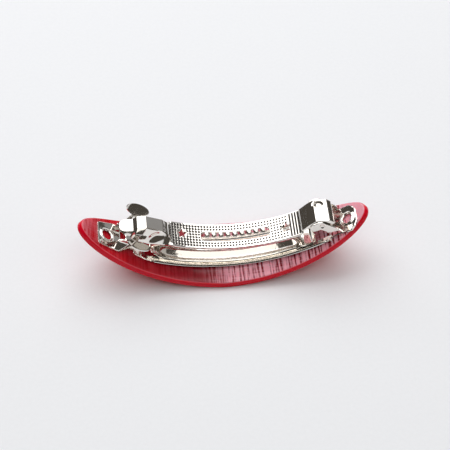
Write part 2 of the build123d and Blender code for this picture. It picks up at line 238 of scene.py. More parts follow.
def sheet(a, b, inside, place, thickness, under=None, soft=0.12):
    """Surface of a stamped blank.

    a and b are the grid's lines in the flat blank.  inside(a, b) is the distance to the
    rim, and place(a, b) gives the upper skin's points.  A rim point moves down the slope
    of that distance until it is zero.  The lower skin is the upper one, or under(a, b),
    moved back along its normal by the thickness.  Within soft of the rim the upper skin
    rounds off.
    """
    A, B = np.meshgrid(a, b, indexing="ij")
    kept = inside((A[:-1, :-1] + A[1:, 1:]) / 2, (B[:-1, :-1] + B[1:, 1:]) / 2) > 0
    index = np.arange(A.size).reshape(A.shape)
    faces = np.stack([index[:-1, :-1], index[1:, :-1], index[1:, 1:], index[:-1, 1:]], -1)[kept]
    used, faces = np.unique(faces, return_inverse=True)
    faces = faces.reshape(-1, 4)
    A, B = A.reshape(-1)[used], B.reshape(-1)[used]
    rim = np.bincount(faces.reshape(-1), minlength=len(used)) < 4
    ra, rb = A[rim], B[rim]
    for _ in range(RIM_ROUNDS):
        away = inside(ra, rb)
        slope_a = (inside(ra + RIM_PROBE, rb) - away) / RIM_PROBE
        slope_b = (inside(ra, rb + RIM_PROBE) - away) / RIM_PROBE
        steep = np.maximum(slope_a**2 + slope_b**2, LEAST_STEEP)
        ra, rb = ra - away * slope_a / steep, rb - away * slope_b / steep
    A[rim], B[rim] = ra, rb
    upper = place(A, B)
    normal = corner_normals(upper, faces)
    smooth_skin = upper if under is None else under(A, B)
    lower = smooth_skin - corner_normals(smooth_skin, faces) * thickness * MM
    near = np.clip(1 - inside(A, B) / soft, 0, 1)
    upper = upper - normal * (soft * (1 - np.sqrt(1 - near**2)))[:, None] * MM
    start, end = faces.reshape(-1), np.roll(faces, -1, 1).reshape(-1)
    count = len(used)
    open_edge = ~np.isin(start * count + end, end * count + start)
    start, end = start[open_edge], end[open_edge]
    walls = np.stack([end, start, start + count, end + count], -1)
    return np.concatenate([upper, lower]), np.concatenate([faces, faces[:, ::-1] + count, walls])


def spaced(start, end, step):
    """Evenly spaced grid lines about a step apart."""
    return np.linspace(start, end, int(round(abs(end - start) / step)) + 1)


print("grid lines a third apart:", spaced(0, 1, 0.33).round(2))

# %% [markdown]
# ## Folded strips
# The ears of the latch, the bar and the arm are strips that are folded along their
# length.  Each fold could be an arc of its own, but a table of corners is easier to
# read, and averaging it over a short stretch rounds every fold at once.

# %% Soft steps and tables of folds
FOLD_SAMPLES = 5


def smooth(x):
    """0 below 0, 1 above 1, and 3x^2 - 2x^3 between."""
    x = np.clip(x, 0, 1)
    return x * x * (3 - 2 * x)


class Fold:
    """A table of values along a folded strip.

    The first two columns are places in millimetres, and the distance between them is the
    length along the strip.  Between its rows the table is straight, and each fold is
    rounded by averaging over a short stretch.
    """

    def __init__(self, rows, soft):
        self.rows = np.array(rows, float)
        self.soft = soft
        steps = np.hypot(*np.diff(self.rows[:, :2], axis=0).T)
        self.lengths = np.concatenate([[0.0], np.cumsum(steps)])

    def at(self, length):
        """Every column at these lengths along the strip."""
        first = (self.rows[1] - self.rows[0]) / self.lengths[1]
        last = (self.rows[-1] - self.rows[-2]) / (self.lengths[-1] - self.lengths[-2])
        total = 0.0
        for shift in np.linspace(-1, 1, FOLD_SAMPLES) * self.soft:
            place = length + shift
            before_start = np.minimum(place, 0)
            past_end = np.maximum(place - self.lengths[-1], 0)
            total = total + np.stack([
                np.interp(place, self.lengths, column) + before_start * f + past_end * l
                for column, f, l in zip(self.rows.T, first, last)
            ])
        return total / FOLD_SAMPLES


print("a right angle, half way:", Fold([(0, 0), (1, 0), (1, 1)], 0.2).at(1.0).round(3))

# %% [markdown]
# ## Shader sums
# A finish is a small sum over textures.  Nodes could be wired one by one, but a class
# that wraps a socket and knows +, -, * and ** lets the sum be written as it is read.  A
# finish then takes a few fixed numbers, and a function for what varies over a surface.

# %% A socket that can be used in sums
class Signal:
    """Output of a shader node.  +, -, * and ** with numbers or signals make Math nodes."""

    def __init__(self, socket):
        self.socket = socket
        self.tree = socket.id_data

    def make(self, kind, settings, values, output=0):
        """New node of this kind.  The settings come first, because they decide its sockets."""
        node = self.tree.nodes.new(kind)
        for name, value in settings.items():
            setattr(node, name, value)
        for name, value in values.items():
            if isinstance(value, Signal):
                self.tree.links.new(value.socket, node.inputs[name])
            else:
                node.inputs[name].default_value = value
        return Signal(node.outputs[output])

    def math(self, operation, first, second=0.0):
        """Math node on two values."""
        return self.make("ShaderNodeMath", {"operation": operation}, {0: first, 1: second})

    def __add__(self, other):
        return self.math("ADD", self, other)

    def __radd__(self, other):
        return self.math("ADD", other, self)

    def __sub__(self, other):
        return self.math("SUBTRACT", self, other)

    def __rsub__(self, other):
        return self.math("SUBTRACT", other, self)

    def __mul__(self, other):
        return self.math("MULTIPLY", self, other)

    def __rmul__(self, other):
        return self.math("MULTIPLY", other, self)

    def __pow__(self, other):
        return self.math("POWER", self, other)

    def clamp(self):
        """Kept between 0 and 1."""
        return self.make("ShaderNodeClamp", {}, {"Value": self})

    def blend(self, dark, light):
        """Colour from dark to light, which may be signals, as this goes from 0 to 1.
        The mixer's colours are its sockets 6 and 7, and its output 2."""
        settings = {"data_type": "RGBA"}
        return self.make("ShaderNodeMix", settings, {"Factor": self, 6: dark, 7: light}, 2)

    def part(self, axis):
        """One coordinate of this vector."""
        return self.make("ShaderNodeSeparateXYZ", {}, {0: self}, "XYZ".index(axis))

    def noise(self, stretch, scale, detail=3.0):
        """Noise over this vector, with the vector stretched along its axes first."""
        times = {"operation": "MULTIPLY"}
        scaled = self.make("ShaderNodeVectorMath", times, {0: self, 1: stretch})
        values = {"Vector": scaled, "Scale": scale, "Detail": detail}
        return self.make("ShaderNodeTexNoise", {}, values)

    def bump(self, strength, distance):
        """Normal of a surface raised by this signal."""
        values = {"Height": self, "Strength": strength, "Distance": distance}
        return self.make("ShaderNodeBump", {}, values)


# %% A finish
def finish(name, numbers, varied, on_bow=True):
    """Principled material.  varied takes the bow coordinates, or the Object coordinates
    in metres, and returns what varies."""
    material = bpy.data.materials.new(name)
    material.use_nodes = True
    tree = material.node_tree
    shader = tree.nodes["Principled BSDF"]
    for socket, value in numbers.items():
        shader.inputs[socket].default_value = value
    if on_bow:
        source = tree.nodes.new("ShaderNodeAttribute")
        source.attribute_name = "bow"
        place = Signal(source.outputs["Vector"])
    else:
        place = Signal(tree.nodes.new("ShaderNodeTexCoord").outputs["Object"])
    for socket, signal in varied(place).items():
        tree.links.new(signal.socket, shader.inputs[socket])
    print(name, "has", len(tree.nodes), "nodes")
    return material


# %% [markdown]
# ## Plated steel
# The clasp is nickel plated: nearly a mirror, a little warm, with a faint cloudiness.
# A flat colour would look like paint, so noise moves the roughness and the tint.  The
# attribute called pit is the share of a pit's depth; it dulls the pits and paints shade into
# them.

# %% Nickel
EVENLY = (1.0, 1.0, 1.0)
NICKEL_DARK, NICKEL_LIGHT = (0.84, 0.80, 0.74, 1), (0.95, 0.92, 0.88, 1)
# painted shade for the hollows of the pits
PIT_PAINTED_SHADE = (0.05, 0.045, 0.04, 1)


def nickel_signals(place):
    """Tint and roughness rise with a slow noise, and a wave tilts the surface slightly.
    A pit is painted dark, as shade, from a fifth of its depth on."""
    cloud = place.noise(EVENLY, 0.25)
    wave = place.noise(EVENLY, 0.7, 1.0)
    pit = place.make("ShaderNodeAttribute", {"attribute_name": "pit"}, {}, "Fac")
    plain = cloud.blend(NICKEL_DARK, NICKEL_LIGHT)
    return {
        # the pits' dark colour is painted shade, blended in by the pit's depth
        "Base Color": (7.0 * pit - 0.3).clamp().blend(plain, PIT_PAINTED_SHADE),
        "Roughness": 0.04 + 0.08 * cloud + 0.5 * pit,
        "Normal": wave.bump(0.10, 0.0002),
    }


nickel = finish("nickel", {"Metallic": 1.0}, nickel_signals)

# %% [markdown]
# ## Acetate
# The plate is deep red acetate, a little clear, and polished.  Its hollow side has fine
# pearly threads across it; that they show most towards the hinge is painted reflection of
# the window.  The threads could be painted on an image, but noise that is stretched across
# the plate gives them at any scale, and the height over the hollow face keeps them off the edge.

# %% Red acetate
PEARL = (0.76, 0.34, 0.41, 1)
EDGE_RED = (0.66, 0.001, 0.018, 1)
LEFT_DARK, LEFT_RED = (0.26, 0.001, 0.006, 1), (0.72, 0.002, 0.014, 1)
# the right pair is the left red with painted shade, darker under the clasp
SHADED_RIGHT_DARK, SHADED_RIGHT_RED = (0.10, 0.001, 0.004, 1), (0.34, 0.002, 0.012, 1)


def acetate_signals(place):
    """Pearl is a clamped sum of noises, times its share along the plate, times the hollow
    face, plus a faint line of painted highlight on the rim.  Below it lies a red that is
    painted darker to the right, as the shade under the clasp.

    The threads are the acetate's own, but their share along the plate is painted reflection
    of the window: pearl grows from nothing at u = -7 to all at u = 3, and some lies beyond
    u = -38.  Past u = 38 its threads lie closer.  The painted shade comes in between u = -33
    and u = -8.  The hollow face counts from 0.26 mm below it, and the rim's painted highlight
    lies 0.22 mm below it.
    """
    thread = place.noise((1.0, 0.05, 0.0), 1.7, 4.0)
    cross = place.noise((0.06, 1.0, 0.0), 2.6, 2.0)
    patch = place.noise((1.0, 0.35, 0.0), 0.2, 2.0)
    u, height = place.part("X"), place.part("Z")
    # share of pearl along the plate: painted reflection of the window over the acetate's real
    # threads
    along = (0.10 * u + 0.72).clamp() + (-0.12 * u - 4.6).clamp() * 0.4 + 0.04
    tip = (0.2 * u - 7.6).clamp()
    # middle: where the painted shade under the clasp comes in
    middle = (0.04 * u + 1.3).clamp()
    inner = (5.0 * height + 1.3).clamp()
    # rim: a painted highlight along the rounded edge
    rim = (1.0 - 40.0 * (height + 0.22) ** 2.0).clamp() * 0.3
    streaks = (6.5 * thread + 1.4 * cross + 1.5 * patch + 2.0 * tip - 4.0).clamp()
    pearl = (streaks * along * inner + rim).clamp()
    # dark and deep carry that painted shade
    dark = middle.blend(LEFT_DARK, SHADED_RIGHT_DARK)
    deep = thread.blend(dark, middle.blend(LEFT_RED, SHADED_RIGHT_RED))
    red = inner.blend(EDGE_RED, deep)
    return {"Base Color": pearl.blend(red, PEARL), "Roughness": 0.16 + 0.14 * thread}


acetate = finish(
    "acetate",
    {
        "Specular IOR Level": 0.16,
        "Coat Weight": 0.06,
        "Coat Roughness": 0.04,
        "Subsurface Weight": 0.5,
        "Subsurface Radius": (1.0, 0.03, 0.03),
        "Subsurface Scale": 0.003,
    },
    acetate_signals,
)

# %% [markdown]
# ## The plate
# The acetate is sawn to a leaf shape, bent hot over a former, and tumbled, so every
# edge is softly rounded.  A bevel modifier on the CAD solid would round its facets too,
# so the skin is drawn anew: a round edge carried round the leaf's outline, and two faces
# that close it, all bent along the arc.

# %% Leaf outline with rounded edges
PLATE_HALF_ARC = 47.0
PLATE_HALF_WIDTH = 11.9
TIP_POWER = 1.484
SIDE_POWER = 2.193
EDGE_ROUND = 0.6
SPINE_REACH = 0.95 * PLATE_HALF_ARC - 0.3    # how far the middle line runs each way


def plate_skin(around=240, round_steps=7, inner_steps=4):
    """Two skins and a round edge between them.

    The outline is u = a cos(t)^(2/p), v = b sin(t)^(2/q).  The edge is two quarter
    circles with a straight wall between: inset by r (1 - cos angle) along the outline's
    normal, and raised by r sin(angle).  From it, straight lines run in to the middle line.
    """
    t = np.arange(around) * 2 * np.pi / around
    u = PLATE_HALF_ARC * np.sign(np.cos(t)) * np.abs(np.cos(t)) ** (2 / TIP_POWER)
    v = PLATE_HALF_WIDTH * np.sign(np.sin(t)) * np.abs(np.sin(t)) ** (2 / SIDE_POWER)
    du, dv = (np.roll(w, -1) - np.roll(w, 1) for w in (u, v))
    out_u, out_v = dv / np.hypot(du, dv), -du / np.hypot(du, dv)
    angle = np.linspace(-np.pi / 2, np.pi / 2, 2 * round_steps)
    inset = EDGE_ROUND * (1 - np.cos(angle))
    h = EDGE_ROUND * np.sin(angle) - PLATE_THICKNESS / 2
    h = h + np.sign(angle) * (PLATE_THICKNESS / 2 - EDGE_ROUND)
    ring_u = u[:, None] - out_u[:, None] * inset
    ring_v = v[:, None] - out_v[:, None] * inset
    spine = np.clip(ring_u[:, :1], -SPINE_REACH, SPINE_REACH)
    reach = np.linspace(0, 1, inner_steps + 1)[:-1]
    low_u = spine + (ring_u[:, :1] - spine) * reach
    low_v = ring_v[:, :1] * reach
    all_u = np.concatenate([low_u, ring_u, low_u[:, ::-1]], axis=1)
    all_v = np.concatenate([low_v, ring_v, low_v[:, ::-1]], axis=1)
    all_h = np.concatenate([0 * reach - PLATE_THICKNESS, h, 0 * reach])
    points = bow(all_u, all_v, all_h[None, :] + 0 * all_u)
    index = np.arange(all_u.size).reshape(all_u.shape)
    ahead = np.roll(index, -1, axis=0)
    faces = np.stack([index[:, :-1], ahead[:, :-1], ahead[:, 1:], index[:, 1:]], -1)
    return weld(points.reshape(-1, 3), faces.reshape(-1, 4))


plate = piece("plate_skin", acetate, plate_skin())
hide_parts("plate")
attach(plate, "base")

# %% [markdown]
# ## The base strip
# The strip, its two tabs with collared holes and all four ears are one stamping.  The
# strip is a blank in (u, v) that lies on the plate's arc.  The ring round each hole could
# be a turned piece, but on the clip the sheet itself is drawn up there, so it is only a
# bump in the height, as the beads along the sides are.

# %% Strip and tabs
SHEET = 0.5
STRIP_THINNER = 0.02     # a skin is a little thinner than its sheet, to stay clear
STRIP_STEP = 0.2
SEAT_GAP = 0.07
HOLES = ((-38.1, -0.5), (40.8, -1.1))
HOLE_RADIUS = 1.5
RING_RADIUS = 1.95
RING_WIDTH = 0.42
RING_HEIGHT = 0.42
BEAD_V = 5.6
BEAD_WIDTH = 0.3
BEAD_HEIGHT = 0.5
BEAD_START_U, BEAD_RISE = -26, 5
BEAD_END_U, BEAD_FALL = 33.5, 2
DRIFT_U = (-40.0, -36.0, 36.5, 40.5)


def strip_place(u, v):
    """Height of the seat plus a ring: height * exp(-((distance - ring radius) / width)^2).
    A bead of the same bell shape runs along both sides of the strip, and fades out
    towards its ends."""
    h = SEAT_GAP + SHEET + 0 * u
    bead = BEAD_HEIGHT * np.exp(-(((np.abs(v) - BEAD_V) / BEAD_WIDTH) ** 2))
    bead = bead * smooth((u - BEAD_START_U) / BEAD_RISE) * smooth((BEAD_END_U - u) / BEAD_FALL)
    h = h + bead
    for u0, v0 in HOLES:
        away = np.hypot(u - u0, v - v0)
        h = h + RING_HEIGHT * np.exp(-(((away - RING_RADIUS) / RING_WIDTH) ** 2))
    return bow(u, v, h)


def both_sides(far, shift):
    """Outline out of the far side's corners and their mirror images.  Beyond the ears it
    drifts across, in the end by shift."""
    drifts = shift * np.interp([u for u, _ in far], DRIFT_U, (1, 0, 0, 1))
    near = [(u, drift - v) for (u, v), drift in zip(far, drifts)]
    return polygon([(u, v + drift) for (u, v), drift in zip(far, drifts)] + near[::-1])


left_corners = [
    (-41.3, 3.6), (-40.9, 4.2), (-35.5, 5.1), (-34.2, 5.3), (-30.5, 2.8), (-26.0, 2.8),
]
strip_corners = [(-28.9, 3.9), (-28.4, 4.4), (-25.0, 5.4), (-22.0, 6.0), (34.3, 6.0)]
right_corners = [
    (33.3, 5.05), (37.8, 4.8), (39.2, 4.75), (41.6, 4.85), (43.1, 3.7), (44.1, 1.95),
]
left_tab = both_sides(left_corners, HOLES[0][1])
strip = both_sides(strip_corners, 0.0)
right_tab = both_sides(right_corners, HOLES[1][1])
windows = [
    window(-33.2, -31.3, -2.7, 2.7),
    window(-25.2, -20.4, -3.3, 3.3),
    window(28.7, 34.0, -3.9, 3.9),
]
hole_cuts = [disc(u, v, HOLE_RADIUS) for u, v in HOLES]
strip_skin = sheet(
    spaced(-41.6, 44.4, STRIP_STEP),
    spaced(-6.4, 6.4, STRIP_STEP),
    blank(either(left_tab, strip, right_tab), *windows, *hole_cuts),
    strip_place,
    SHEET - STRIP_THINNER,
)
print("strip and tabs:", len(strip_skin[0]), "points")

# %% [markdown]
# ## The hinge ears
# On each side of the hinge a bent ear rises from the tab and hooks over the channel.
# A small dimple is pressed into it, which is the pivot.  The ear could be folded up out
# of the strip's grid, but its fold is hidden, so it is a flat blank in (u, h) of its own
# that stands upright, drawn once and mirrored.

# %% Ears of the hinge
HINGE_EAR_V = 4.4
PIVOT_U, PIVOT_H = 34.7, 6.5
EAR_THINNER = 0.05
EAR_STEP = 0.13
EAR_REACH = 3.9
EAR_TABLE = (
    # share of the reach from the pivot, share of the pivot's height
    (0.95, 0.05),
    (0.9, 0.34),
    (0.49, 0.92),
    (0.26, 1.23),
    (-0.08, 1.33),
    (-0.59, 1.33),
    (-1.0, 1.2),
    (-1.0, 0.91),
    (-0.33, 0.83),
    (-0.08, 0.55),
    (0.05, 0.05),
)
DIMPLE_RADIUS = 0.95
DIMPLE_DEPTH = 0.35


def hinge_ear_place(u, h):
    """Upright sheet.  The dimple sinks to its depth over the outer half of its radius."""
    share = np.hypot(u - PIVOT_U, h - PIVOT_H) / DIMPLE_RADIUS
    sunk = DIMPLE_DEPTH * smooth(2 * (1 - share))
    return bow(u, -(HINGE_EAR_V + SHEET - sunk), h)


ear_outline = polygon([(PIVOT_U + a * EAR_REACH, PIVOT_H * b) for a, b in EAR_TABLE])
hinge_ears = mirrored(
    sheet(
        spaced(PIVOT_U - EAR_REACH, PIVOT_U + EAR_REACH, EAR_STEP),
        spaced(0.2, 9.0, EAR_STEP),
        ear_outline,
        hinge_ear_place,
        SHEET - EAR_THINNER,
    )
)
print("one hinge ear:", len(hinge_ears[0][0]), "points")

# %% [markdown]
# ## The latch ears
# At the other end two ears grip the arm's tongue.  Each is a strip that leans inwards,
# narrows to a neck, then leans outwards and ends in an oval, dished pad for a finger.
# One ear could be mirrored, as at the hinge.  But the near one is bent further down, so
# both are cut to one blank, and each has its own table of folds.

# %% Ears of the latch
EAR_U = -32.0
EAR_BLANK = polygon([
    # length along the ear, place along the clip
    (0.35, -3.6), (3.2, -3.5), (5.0, -1.4), (8.0, 0.5),
    (8.0, 2.5), (5.4, 1.6), (3.2, 0.7), (0.35, -1.8),
])
EAR_SOFT = 0.5           # half the length over which a fold is rounded
PAD_MIDDLE = 9.0
PAD_SHIFT = 1.5
PAD_HALF_LENGTH = 4.4
PAD_HALF_WIDTH = 1.8
PAD_DISH_RADIUS = 20.0
PAD_DISH_REACH = 2.4     # the dish fades out this far down the ear from the pad's middle
FAR_FOLDS = [(5.2, 0.1), (3.6, 2.1), (3.7, 3.1), (7.54, 7.03)]
NEAR_FOLDS = [(5.2, 0.1), (3.0, 2.8), (4.5, 5.9), (7.47, 6.32)]


def latch_ear(folds):
    """Ear, drawn on the far side.  folds are the places of its folds in (v, h), and past
    the last one it runs straight on.  The pad's rim stands up from its middle by
    distance^2 / (2 * radius)."""
    fold = Fold(folds, EAR_SOFT)

    def place(length, along):
        here = fold.at(length)
        ahead = fold.at(length + 0.01) - here
        ahead = ahead / np.hypot(*ahead)
        away = np.hypot(along - PAD_SHIFT, length - PAD_MIDDLE)
        on_pad = np.clip(length - PAD_MIDDLE + PAD_DISH_REACH, 0, 1)
        raised = on_pad * away**2 / (2 * PAD_DISH_RADIUS)
        return bow(EAR_U + along, here[0] - raised * ahead[1], here[1] + raised * ahead[0])

    outline = either(EAR_BLANK, oval(PAD_MIDDLE, PAD_SHIFT, PAD_HALF_WIDTH, PAD_HALF_LENGTH))
    lengths, places = spaced(0, 11.1, EAR_STEP), spaced(-3.8, 6.1, EAR_STEP)
    return sheet(lengths, places, outline, place, SHEET - EAR_THINNER)


latch_ears = mirrored(latch_ear(FAR_FOLDS))[0], mirrored(latch_ear(NEAR_FOLDS))[1]
base = piece("base_skin", nickel, strip_skin, *hinge_ears, *latch_ears)
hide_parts("base")
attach(base, "base")

# %% [markdown]
# ## The tension bar
# Under the arm lies a smooth spring strip that presses the hair up.  It lifts at the
# left, dips to a foot at the right and curls up there.  A profile swept along a curve
# would be as even all along.  The bar isn't: it is flat at its ends and arched across
# between them, so that its side takes the light in one long streak.

# %% Spring strip
BAR_THINNER = 0.03
BAR_HALF_WIDTH = 4.6
BAR_TIP_HALF = 3.9
BAR_TIP_LENGTH = 1.0
BAR_FLAT_V = 1.3
BAR_SLOPE = 0.85
BAR_EASE_V = 3.1
BAR_EASE = 0.45
BAR_BEND = 0.3
BAR_SOFT = 0.4
BAR_GAP = 0.07
ARCH_START_U, ARCH_RISE = -26.0, 8
ARCH_END_U, ARCH_FALL = 25.3, 3
CURL_RADIUS = 2.5
CURL_U = 27.4
foot_top = SEAT_GAP + 2 * SHEET + BAR_GAP
curl = np.radians(np.linspace(12, 95, 8))
bar_rows = [(-24.6, 3.8), (-15.0, 3.3), (22.6, 3.3), (25.6, foot_top), (CURL_U, foot_top)]
bar_rows += [
    (CURL_U + CURL_RADIUS * np.sin(angle), foot_top + CURL_RADIUS * (1 - np.cos(angle)))
    for angle in curl
]
bar_fold = Fold(bar_rows, BAR_SOFT)


def bar_place(length, v):
    """Folded strip in (u, h).  Beyond its flat middle it falls by slope * distance, with
    a soft bend between, and further out the slope eases.  The fall fades out towards the
    ends, where the strip is flat."""
    u, h = bar_fold.at(length)
    beyond = np.hypot(np.maximum(np.abs(v) - BAR_FLAT_V, 0), BAR_BEND) - BAR_BEND
    further = np.hypot(np.maximum(np.abs(v) - BAR_EASE_V, 0), BAR_BEND) - BAR_BEND
    arched = smooth((ARCH_END_U - u) / ARCH_FALL) * smooth((u - ARCH_START_U) / ARCH_RISE)
    return bow(u, v, h - arched * (BAR_SLOPE * beyond - BAR_EASE * further))


bar_length = bar_fold.lengths[-1]
bar_side = [(0.0, BAR_TIP_HALF), (BAR_TIP_LENGTH, BAR_HALF_WIDTH), (bar_length, BAR_HALF_WIDTH)]
bar_skin = sheet(
    spaced(-0.2, bar_length + 0.2, 0.25),
    spaced(-4.8, 4.8, 0.2),
    polygon([(length, -v) for length, v in bar_side] + bar_side[::-1]),
    bar_place,
    SHEET - BAR_THINNER,
)
bar = piece("bar_skin", nickel, bar_skin)
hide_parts("tension_bar")
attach(bar, "base")

# %% [markdown]
# ## The arm
# The arm is one stamping: a drooping nose and a raised tongue at the left, the long
# knurled strip, and the hinge channel at the right.  It could be pieced together from
# three forms, but one sheet lets the folds run into each other.  A table says for places
# along it how high its middle is and how far its edges sink.  Between its rows everything
# is straight, and the folds are rounded, as a press leaves them.

# %% Spine and cross-sections
ARM_HALF_WIDTH = 4.75
FOLD_V = 2.85
ARM_THICKNESS = 0.6
ARM_THINNER = 0.05
ARM_SOFT = 0.18
STRIP_START, STRIP_END = (-18.6, 8.35), (27.3, 7.05)    # (u, height) of the knurled strip
arm_fold = Fold(
    [
        # u, height, half width of the top, side of the foot, fall to the foot
        (-36.9, 5.65, 0.9, 1.0, 0.1),
        (-36.6, 5.85, 1.6, 1.75, 0.2),
        (-36.0, 6.2, 2.1, 2.4, 0.5),
        (-35.0, 6.75, 2.3, 2.8, 1.3),
        (-33.1, 7.8, 2.35, 3.0, 2.1),
        (-32.4, 9.5, 2.35, 3.7, 4.0),
        (-29.7, 10.7, 2.35, 3.9, 5.3),
        (-26.5, 10.9, 2.35, 3.9, 5.4),
        (-23.1, 10.95, 2.35, 3.9, 4.8),
        (-20.6, 10.1, 2.4, 4.3, 3.0),
        (*STRIP_START, 2.85, 4.75, 0.0),
        (*STRIP_END, 2.85, 4.75, 0.0),
        (27.6, 7.7, 2.7, 4.3, 0.0),
        (31.0, 8.7, 2.58, 4.3, 0.0),
        (34.2, 9.15, 2.58, 4.3, 0.0),
        (38.0, 6.9, 2.58, 4.3, 0.0),
        (38.6, 4.9, 2.58, 4.3, 0.0),
    ],
    ARM_SOFT,
)
arm_lengths = dict(zip(arm_fold.rows[:, 0].tolist(), arm_fold.lengths))
print("length along the arm:", round(float(arm_fold.lengths[-1]), 1), "mm")

# %% [markdown]
# ## Knurl, slot and stars
# The strip is knurled so that hair doesn't slip: rows of small pits, and a few ridges
# across near the hinge.  They could be a bump map, but a pit this size has a shadow of
# its own, so they are pressed into the mesh.  The slot and the stars are cut through.

# %% Pits, ridges and cuts
KNURL_PITCH = 1.06
KNURL_DEPTH = 0.08
KNURL_V = 4.45
KNURL_LEFT_U, KNURL_RIGHT_U = -18.4, 22.8
KNURL_FADE = 0.3
KNURL_CLEAR = 0.25       # of the slot
PIT_RADIUS = 0.50
PIT_SHRINK = 0.006       # share of the radius lost in each millimetre to the right
RIDGES = (23.7, 24.75, 25.75, 26.7)
RIDGE_V = 4.5
RIDGE_WIDTH = 0.22
SLOT = (-8.0, 16.3, -1.9, 1.75)
STARS = ((-14.7, 0.6), (22.0, -0.3))
STAR_RADIUS = 2.0
STAR_INNER = 0.45


def knurl(u, v):
    """Share of the pits' depth: one round pit in each pitch, 1 - (distance / radius)^2,
    with a radius that shrinks a little towards the hinge, and a bell-shaped groove at
    each ridge's foot.  Pits keep clear of the slot, the left star and the edges."""
    row = np.round(v / KNURL_PITCH - 0.5) + 0.5
    column = np.round(u / KNURL_PITCH)
    away = np.hypot(u - column * KNURL_PITCH, v - row * KNURL_PITCH)
    clear = np.minimum.reduce([
        u - KNURL_LEFT_U,
        KNURL_RIGHT_U - u,
        KNURL_V - np.abs(v),
        -pill(*SLOT)(u, v) - KNURL_CLEAR,
        np.hypot(u - STARS[0][0], v - STARS[0][1]) - STAR_RADIUS,
    ])
    radius = PIT_RADIUS * (1 - PIT_SHRINK * (u - KNURL_LEFT_U))
    pits = np.clip(1 - (away / radius) ** 2, 0, 1) * smooth(clear / KNURL_FADE)
    ridge = sum(np.exp(-(((u - u0) / RIDGE_WIDTH) ** 2)) for u0 in RIDGES)
    return pits + ridge * smooth((RIDGE_V - np.abs(v)) / KNURL_FADE)


print("share of the depth at a pit's middle:", knurl(0.0, 2.5 * KNURL_PITCH))

# %% [markdown]
# ## The arm bent to shape
# The press leaves a crease and an eye-shaped dish on the tongue's flanges, and a scoop on
# the channel's ridge.  They could be sculpted by hand, but each is one more smooth step
# added to the sheet, so it can be moved and sized by its numbers.

# %% Tongue, strip and channel
EYE_U, EYE_SIDE, EYE_HALF, EYE_NARROW, EYE_DEPTH = -25.0, 3.75, 3.2, 0.85, 0.85
EYE_SLANT = 0.12
CREASE_U = -29.0
CREASE_SLANT = 2.2
CREASE_WIDTH = 0.5
FLAT_START_U = -33.0
FLAT_RISE = 0.6
FLAT_SHARE = 0.33        # the flat stretch ends at this share of the flange
BULGE = 0.1
BULGE_FALL = 3.7         # fall of the flange at which it bulges fully
SCOOP_U, SCOOP_V, SCOOP_HALF, SCOOP_NARROW, SCOOP_DEPTH = 35.2, 2.7, 2.0, 1.4, 1.0
PITTED_U = 28            # no pit or ridge lies further from the middle
SIDE_SHIFTS = (-0.12, 0.0, 0.12)


def arm_smooth(length, side):
    """Spine plus cross-section.  side runs across the blank: up to the fold it is the top,
    and beyond it the flange, which bulges by a sine between the fold and its foot.  A
    crease crosses the flange aslant.  Left of it the flange leaves the top at a flatter
    angle, and right of it an eye-shaped dish is pressed in.  The mean of three places
    across rounds the fold."""
    total = 0.0
    for shift in SIDE_SHIFTS:
        reach, sign = np.abs(side + shift), np.sign(side + shift)
        u, h, top, foot, fall = arm_fold.at(length)
        out = np.clip((reach - FOLD_V) / (ARM_HALF_WIDTH - FOLD_V), 0, 1)
        flat = smooth((CREASE_U - CREASE_SLANT * out - u) / CREASE_WIDTH)
        flat = flat * smooth((u - FLAT_START_U) / FLAT_RISE)
        share = out + flat * (np.clip(out / FLAT_SHARE, 0, 1) - out)
        v = np.where(reach < FOLD_V, top * reach / FOLD_V, top + (foot - top) * share)
        bulge = BULGE * np.clip(fall / BULGE_FALL, 0, 1) * np.sin(np.pi * out) * (1 - flat)
        eye = oval(EYE_U, EYE_SIDE, EYE_HALF, EYE_NARROW)(u, reach + EYE_SLANT * (u - EYE_U))
        bulge = bulge - EYE_DEPTH * smooth(eye / EYE_NARROW)
        total = total + np.stack([u, sign * v + sign * bulge, h - fall * out])
    u, v, h = total / len(SIDE_SHIFTS)
    scoop = oval(SCOOP_U, SCOOP_V, SCOOP_HALF, SCOOP_NARROW)(u, v)
    return bow(u, v, h - SCOOP_DEPTH * smooth(scoop))


def arm_place(length, side):
    """The smooth arm with its pits pressed in."""
    u, v, h = unbow(arm_smooth(length, side)).T
    return bow(u, v, h - np.where(np.abs(u) < PITTED_U, KNURL_DEPTH * knurl(u, v), 0.0))


def arm_inside(length, side):
    """Flat outline of the arm: a strip with its slot and stars."""
    u = arm_fold.at(length)[0]
    outline = np.minimum(length, ARM_HALF_WIDTH - np.abs(side))
    outline = np.minimum(outline, arm_fold.lengths[-1] - length)
    cuts = [pill(*SLOT)] + [star(*middle, STAR_RADIUS, STAR_INNER) for middle in STARS]
    return np.minimum.reduce([outline] + [-cut(u, side) for cut in cuts])


FINE_STEP, ROUGH_STEP = 0.13, 0.2
strip_start, strip_end = arm_lengths[STRIP_START[0]], arm_lengths[STRIP_END[0]]
rows = np.concatenate([
    spaced(-0.1, strip_start, ROUGH_STEP)[:-1],
    spaced(strip_start, strip_end, FINE_STEP),
    spaced(strip_end, arm_fold.lengths[-1], ROUGH_STEP)[1:],
])
arm_skin = sheet(
    rows,
    spaced(-ARM_HALF_WIDTH, ARM_HALF_WIDTH, FINE_STEP),
    arm_inside,
    arm_place,
    ARM_THICKNESS - ARM_THINNER,
    arm_smooth,
)
print("tongue, strip and channel:", len(arm_skin[0]), "points")

# %% [markdown]
# ## The teeth
# The slot's far edge is cut into nine round teeth, bent down to comb the hair.  They could
# be part of the arm's grid, but they bend too sharply for it.  So each is a small blank of
# its own that follows a circle downwards, set at even steps along the slot and at the
# strip's height there.

